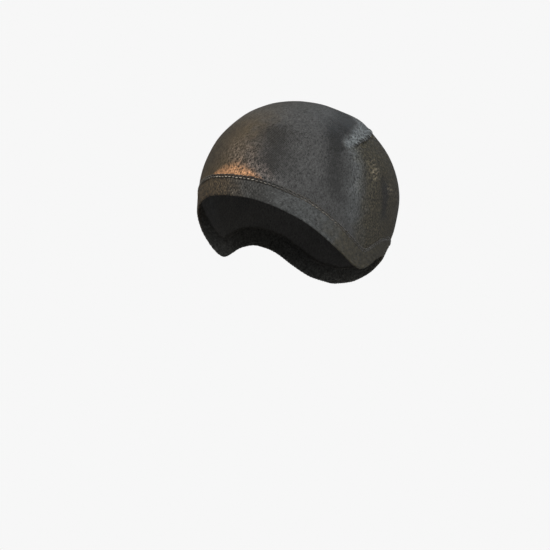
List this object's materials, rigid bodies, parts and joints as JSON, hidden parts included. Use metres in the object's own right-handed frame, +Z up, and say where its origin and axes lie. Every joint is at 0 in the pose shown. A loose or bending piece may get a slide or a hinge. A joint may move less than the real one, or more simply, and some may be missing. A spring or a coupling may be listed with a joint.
{
  "type": "stocking wig cap",
  "caption": "Stretch knit cap worn under a wig: a sheer close-fitting crown closed by a seam across the back, with a doubled elastic hem band round the hairline.",
  "frame": {"origin": "the point inside the crown where the top of the wearer's head touches, on the crown's upright axis", "axes": "+Z up out of the crown, -Y towards the wearer's forehead, +X towards the wearer's left ear"},
  "size_m": [0.1534, 0.1914, 0.1509],
  "materials": {
    "sheer_knit": "fine sheer nylon knit, off-black, soft sheen",
    "seam_thread": "gathered overlocked nylon, matte",
    "doubled_knit": "dense doubled elastic knit, off-black, matte"
  },
  "bodies": {
    "root": {"crown": "sheer_knit", "crown_seam": "seam_thread", "hem_band": "doubled_knit"}
  },
  "joints": []
}
